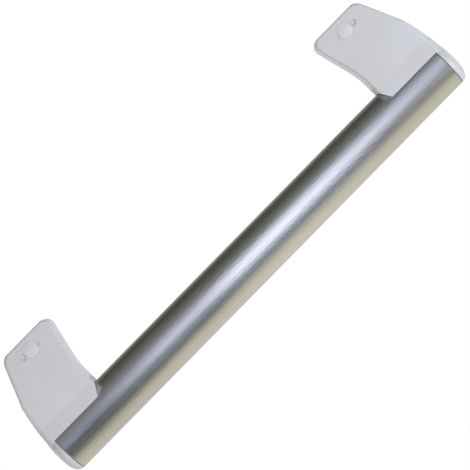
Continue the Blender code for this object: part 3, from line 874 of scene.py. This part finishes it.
cap = lathe("cap", cap_outline, (END, 0, AXIS_HEIGHT), (1, 0, 0), TUBE_SIDES)
use_tool(moulding, cap, "UNION")
print("leg and cap:", len(moulding.data.polygons), "faces")

# %% Soften the moulded edges
MOULD_EDGE = 0.3 * MM
EDGE_STEPS = 2
SHARP_ANGLE = 40 * DEGREE
MARGIN = 0.1 * MM


def soften(piece, width, test):
    """Bevel the sharp edges whose middle passes a test."""
    edit(piece, "EDGE")
    bpy.ops.mesh.edges_select_sharp(sharpness=SHARP_ANGLE)
    bpy.ops.object.mode_set(mode="OBJECT")
    points = piece.data.vertices
    chosen = 0
    for edge in piece.data.edges:
        one, other = (points[index].co for index in edge.vertices)
        edge.select = edge.select and test((one + other) / 2)
        chosen += edge.select
    bpy.ops.object.mode_set(mode="EDIT")
    bpy.ops.mesh.bevel(offset=width, segments=EDGE_STEPS, affect="EDGES", clamp_overlap=True)
    pick(piece)
    print("softened", chosen, "edges of", piece.name)


def on_slope_or_saddle(point):
    """True below the axis, outside the sleeve and inboard of the cap."""
    out = math.hypot(point.y, point.z - AXIS_HEIGHT)
    below_axis = point.z < AXIS_HEIGHT - MARGIN
    inboard = point.x < END - CAP_THICKNESS - MARGIN
    return below_axis and inboard and out > TUBE_RADIUS + MARGIN


soften(moulding, MOULD_EDGE, on_slope_or_saddle)

# %% [markdown]
# ## Inside the bracket
#
# A thick lump of plastic would sink as it cools, so the real leg is a hollow shell with ribs, a web and
# bosses for its metal parts, open at the foot. The hollow is stacked like the leg. Everything that stays
# solid is cut out of the hollow first, and the leg then needs a single cut, with no ribs to join on.

# %% Model the hollow
WALL = 2.8 * MM
FOOT_LAND = 1 * MM
RIM_HEIGHT = 8 * MM


def hollow_level(height):
    """A wall in from the leg's faces, with a thicker rim at the foot."""
    above = max(height, 0)
    rim_share = max(1 - above / RIM_HEIGHT, 0)
    low = inner_edge(above) + WALL + (FOOT_INNER_ROUND + FOOT_LAND - WALL) * rim_share
    high = outer_edge(above) - WALL - (FOOT_OUTER_ROUND + FOOT_LAND - WALL) * rim_share
    return (height, low, high, half_width(above) - WALL)


def hollow_corner(height):
    return max(outer_corner(height) - WALL, INNER_CORNER / 2)


hollow_heights = [-FOOT_LAND, 0, RIM_HEIGHT] + bow_heights
hollow = stack("hollow", [hollow_level(height) for height in hollow_heights])
round_corners(hollow, INNER_CORNER / 2, hollow_corner)
roof_start = (END - 2 * TOP_LENGTH, 0, AXIS_HEIGHT)
roof_end = (END + TOP_LENGTH, 0, AXIS_HEIGHT)
cut(hollow, rod("roof", SADDLE_RADIUS + WALL, roof_start, roof_end, TUBE_SIDES))
print("hollow:", len(hollow.data.polygons), "faces")

# %% Leave ribs and a web
RIB = 1.8 * MM
RIB_COUNT = 3
RIB_RECESS = 1 * MM
WEB_HEIGHT = 30 * MM
mouth_end = outer_edge(0) - FOOT_OUTER_ROUND - FOOT_LAND
for count in range(RIB_COUNT):
    middle = STUD_X + (count - 0.5) * SCREW_PITCH
    bottom = RIB_RECESS if middle < mouth_end else CREASE_HEIGHT - RIB
    rib_low = (middle - RIB / 2, -TUBE_RADIUS, bottom)
    cut(hollow, block("rib", rib_low, (middle + RIB / 2, TUBE_RADIUS, AXIS_HEIGHT)))
web_low = (END - 2 * TOP_LENGTH, -RIB / 2, RIB_RECESS)
cut(hollow, block("web", web_low, (STUD_X, RIB / 2, WEB_HEIGHT)))
print("hollow round its ribs and web:", len(hollow.data.polygons), "faces")

# %% Leave bosses for the metal parts
SOCKET_RADIUS = (socket_high.x - socket_low.x) / 2
SOCKET_TOP = socket_high.z
BOSS_WALL = 1.8 * MM
INSERT_BOSS_WALL = 1.6 * MM
SCREW_BOSS_WALL = 2.6 * MM
SCREW_BOSS_DROP = 1.4 * MM
LOCK_HEIGHT = 7.8 * MM
LOCK_RADIUS = 2.35 * MM
INSERT_WALL = 1.2 * MM
COVER_RADIUS = 4.7 * MM
COVER_THICKNESS = 1.6 * MM
INSERT_RADIUS = LOCK_RADIUS + GAP + INSERT_WALL
SCREW_SEAT = AXIS_HEIGHT - SADDLE_RADIUS - WALL - SCREW_BOSS_DROP
boss_top = SOCKET_TOP + GAP + BOSS_WALL
cover_floor = half_width(LOCK_HEIGHT) - COVER_THICKNESS - GAP
lock_middle = Vector((STUD_X, 0, LOCK_HEIGHT))


def at_stud(height):
    """A point on the stud's axis, at a height above the door."""
    return (STUD_X, 0, height)


def forward(distance):
    """A point on the lock screw's axis, a distance towards the camera's side."""
    return lock_middle - Vector((0, distance, 0))


def below_tube(x, height):
    """A point in the handle's middle plane, at a place along the tube and a height."""
    return (x, 0, height)


pad_radius = COVER_RADIUS + GAP + INSERT_BOSS_WALL
pad_floor = forward(cover_floor - INSERT_BOSS_WALL)
insert_boss_radius = INSERT_RADIUS + GAP + INSERT_BOSS_WALL
screw_boss_radius = TUBE_SCREW_RADIUS + GAP + SCREW_BOSS_WALL
cut(
    hollow,
    rod("socket_boss", SOCKET_RADIUS + GAP + BOSS_WALL, at_stud(-WALL), at_stud(boss_top)),
    rod("insert_boss", insert_boss_radius, forward(TUBE_RADIUS), forward(0)),
    rod("cover_pad", pad_radius, forward(TUBE_RADIUS), pad_floor),
)
for x in screw_places.values():
    seat, roof = below_tube(x, SCREW_SEAT), below_tube(x, AXIS_HEIGHT)
    cut(hollow, rod("screw_boss", screw_boss_radius, seat, roof))
cut(moulding, hollow)
print("hollow moulding:", len(moulding.data.polygons), "faces")

# %% [markdown]
# ## Bores, recess and pry notches
#
# A round recess on the side of the foot takes the cover of the lock screw. It is cut square to the
# drafted side. A notch at either side of it lets a small screwdriver in: a wide one towards the end of
# the handle, and a narrow one on the other side. The edges of the recess are softened, so it shows as a
# faint ring.

# %% Bore the foot
SOCKET_BORE = 4.1 * MM
COVER_SLIT = 0.05 * MM
draft = math.atan((GRIP_WIDTH - FOOT_WIDTH) / 2 / CREASE_HEIGHT)
side_out = Vector((0, -math.cos(draft), -math.sin(draft)))
cover_face = forward(half_width(LOCK_HEIGHT))
recess_floor = cover_face - side_out * (COVER_THICKNESS + GAP)
cut(
    moulding,
    rod("socket_bore", SOCKET_RADIUS + GAP, at_stud(-WALL), at_stud(SOCKET_TOP + GAP)),
    rod("driver_bore", SOCKET_BORE, at_stud(0), at_stud(boss_top + GAP)),
    rod("insert_bore", INSERT_RADIUS + GAP, forward(cover_floor + GAP), forward(0)),
    rod("recess", COVER_RADIUS + COVER_SLIT, recess_floor, cover_face + side_out * WALL),
)
print(f"the foot's side leans {draft / DEGREE:.1f} degrees")

# %% Cut the pry notches
# Which way along the tube, radius, depth
NOTCHES = {"inner": (-1, 1.2 * MM, 0.4 * MM), "outer": (1, 1.9 * MM, 0.7 * MM)}
NOTCH_OVERLAP = 0.4 * MM
NOTCH_SIDES = 40
RECESS_EDGE = 0.12 * MM
RECESS_REACH = 2.2 * COVER_RADIUS
FACE_TOLERANCE = 0.02 * MM


def notch_tools():
    """One rod for each notch, square to the drafted side."""
    tools = []
    for name, (way, radius, depth) in NOTCHES.items():
        middle = cover_face + Vector((way * (COVER_RADIUS + radius - NOTCH_OVERLAP), 0, 0))
        low, high = middle - side_out * depth, middle + side_out * WALL
        tools.append(rod("notch_" + name, radius, low, high, NOTCH_SIDES))
    return tools


def round_the_recess(point):
    """True on the drafted side, near the recess and the notches."""
    from_cover = point - cover_face
    return abs(from_cover.dot(side_out)) < FACE_TOLERANCE and from_cover.length < RECESS_REACH


cut(moulding, *notch_tools())
soften(moulding, RECESS_EDGE, round_the_recess)
print("bored moulding:", len(moulding.data.polygons), "faces")

# %% Slot the sleeve and drill the saddle
SLOT_WIDTH = 3 * MM
SLOT_LENGTH = 24 * MM
slot_low = (END + sleeve_end - GAP, -TUBE_RADIUS, AXIS_HEIGHT - SLOT_WIDTH / 2)
slot_high = (END + sleeve_end + SLOT_LENGTH, TUBE_RADIUS, AXIS_HEIGHT + SLOT_WIDTH / 2)
cut(moulding, block("sleeve_slot", slot_low, slot_high))
for x in screw_places.values():
    drill_start, drill_end = below_tube(x, SCREW_SEAT - GAP), below_tube(x, AXIS_HEIGHT)
    cut(moulding, rod("saddle_hole", TUBE_SCREW_RADIUS + GAP, drill_start, drill_end, HOLE_SIDES))
dress_both(moulding, bracket_plastic, "bracket")

# %% [markdown]
# ## Screw covers
#
# Each cover is a small press-in button. Its low crown catches a spot of light, which is most of what
# the photograph shows of it. A flattened ball would have no straight side to sit in the recess, so the
# lathe turns the crown and the side together. The notches are cut with the same tools as in the foot,
# so that they line up.

# %% Model the covers
COVER_RIM = 0.8 * MM
COVER_CROWN = 0.5 * MM
COVER_EDGE = 0.16 * MM
COVER_SIDES = 72
CROWN_STEPS = 10
crown_radius = COVER_RADIUS - COVER_RIM
cover_swell = COVER_EDGE / 4
cover_outline = []
for step in range(CROWN_STEPS + 1):
    share = step / CROWN_STEPS
    cover_outline.append((crown_radius * share, COVER_CROWN * (1 - share**2)))
cover_outline += [
    (COVER_RADIUS - COVER_EDGE, 0),
    (COVER_RADIUS - cover_swell, -cover_swell),
    (COVER_RADIUS, -COVER_EDGE),
    (COVER_RADIUS, -COVER_THICKNESS),
    (0, -COVER_THICKNESS),
]
cover = lathe("lower_cover", cover_outline, cover_face, side_out, COVER_SIDES)
cut(cover, *notch_tools())
# The covers' lighter plastic paints part of the crown's spot of light as a highlight.
dress_both(cover, cover_plastic, "screw_cover")

# %% [markdown]
# ## Metal parts inside the foot
#
# The stud on the door goes into a steel bush. A headless screw in a brass insert clamps it, and two
# pan-head screws hold the tube down. All of them are round. They could be built up from cylinders, but
# one outline on the lathe gives each its bevels, its waist or its point as well.

# %% Stud socket
SOCKET_EDGE = 0.4 * MM
LOCK_HOLE_SIDES = 40
socket_length = socket_high.z - socket_low.z
socket_outline = [
    (SOCKET_BORE, socket_length),
    (SOCKET_RADIUS - SOCKET_EDGE, socket_length),
    (SOCKET_RADIUS, socket_length - SOCKET_EDGE),
    (SOCKET_RADIUS, SOCKET_EDGE),
    (SOCKET_RADIUS - SOCKET_EDGE, 0),
    (SOCKET_BORE + SOCKET_EDGE, 0),
    (SOCKET_BORE, SOCKET_EDGE),
    (SOCKET_BORE, socket_length),
]
socket = lathe("lower_socket", socket_outline, at_stud(socket_low.z), (0, 0, 1))
cut(socket, rod("lock_hole", LOCK_RADIUS + GAP, forward(TUBE_RADIUS), forward(0), LOCK_HOLE_SIDES))
dress_both(socket, zinc_plate, "stud_socket")

# %% Thread insert
WAIST_DEPTH = 0.4 * MM
# The waist's four corners, as shares of the insert's length
WAIST_START, WAIST_FLAT, WAIST_RISE, WAIST_END = 0.35, 0.4, 0.55, 0.6
insert_end = cover_floor - GAP
insert_length = insert_end - SOCKET_RADIUS - GAP
insert_bore = LOCK_RADIUS + GAP
waist = INSERT_RADIUS - WAIST_DEPTH
insert_outline = [
    (insert_bore, 0),
    (INSERT_RADIUS, 0),
    (INSERT_RADIUS, -WAIST_START * insert_length),
    (waist, -WAIST_FLAT * insert_length),
    (waist, -WAIST_RISE * insert_length),
    (INSERT_RADIUS, -WAIST_END * insert_length),
    (INSERT_RADIUS, -insert_length),
    (insert_bore, -insert_length),
    (insert_bore, 0),
]
insert = lathe("lower_insert", insert_outline, forward(insert_end), (0, -1, 0))
dress_both(insert, turned_brass, "thread_insert")

# %% Lock screw
SCREW_SIDES = 48
HEX_WIDTH = 2.5 * MM
HEX_DEPTH = 2.2 * MM
lock_end = cover_floor - 2 * GAP
lock_length = lock_end - SOCKET_BORE - GAP
lock_outline = [
    (0, 0),
    (LOCK_RADIUS, 0),
    (LOCK_RADIUS, LOCK_RADIUS / 2 - lock_length),
    (LOCK_RADIUS / 2, -lock_length),
    (0, -lock_length),
]
lock_screw = lathe("lower_lock", lock_outline, forward(lock_end), (0, -1, 0), SCREW_SIDES)
hex_radius = HEX_WIDTH / math.sqrt(3)
hex_floor = forward(lock_end - HEX_DEPTH)
cut(lock_screw, rod("hexagon", hex_radius, hex_floor, forward(TUBE_RADIUS), sides=6))
dress_both(lock_screw, zinc_plate, "lock_screw")

# %% Tube screws
SCREW_LENGTH = 11 * MM
SCREW_POINT = 1.6 * MM
HEAD_RADIUS = 3.2 * MM
HEAD_HEIGHT = 2.2 * MM
# The pan head's profile, as shares of its radius and height
HEAD_FLAT, HEAD_SHOULDER = 0.6, 0.9
SHOULDER_RISE, SIDE_RISE = 0.8, 0.4
CROSS_HALF = 0.45 * MM
CROSS_DEPTH = 1.2 * MM
screw_outline = [
    (0, HEAD_HEIGHT),
    (HEAD_FLAT * HEAD_RADIUS, HEAD_HEIGHT),
    (HEAD_SHOULDER * HEAD_RADIUS, SHOULDER_RISE * HEAD_HEIGHT),
    (HEAD_RADIUS, SIDE_RISE * HEAD_HEIGHT),
    (HEAD_RADIUS, 0),
    (TUBE_SCREW_RADIUS, 0),
    (TUBE_SCREW_RADIUS, SCREW_POINT - SCREW_LENGTH),
    (0, -SCREW_LENGTH),
]
under_head = SCREW_SEAT - GAP
head_face = under_head - HEAD_HEIGHT
for name, x in screw_places.items():
    screw_place = below_tube(x, under_head)
    tube_screw = lathe("lower_screw_" + name, screw_outline, screw_place, (0, 0, -1), SCREW_SIDES)
    for long, wide in ((HEAD_RADIUS / 2, CROSS_HALF), (CROSS_HALF, HEAD_RADIUS / 2)):
        cross_low = (x - long, -wide, head_face - HEAD_HEIGHT)
        cut(tube_screw, block("cross", cross_low, (x + long, wide, head_face + CROSS_DEPTH)))
    dress_both(tube_screw, zinc_plate, "tube_screw_" + name)
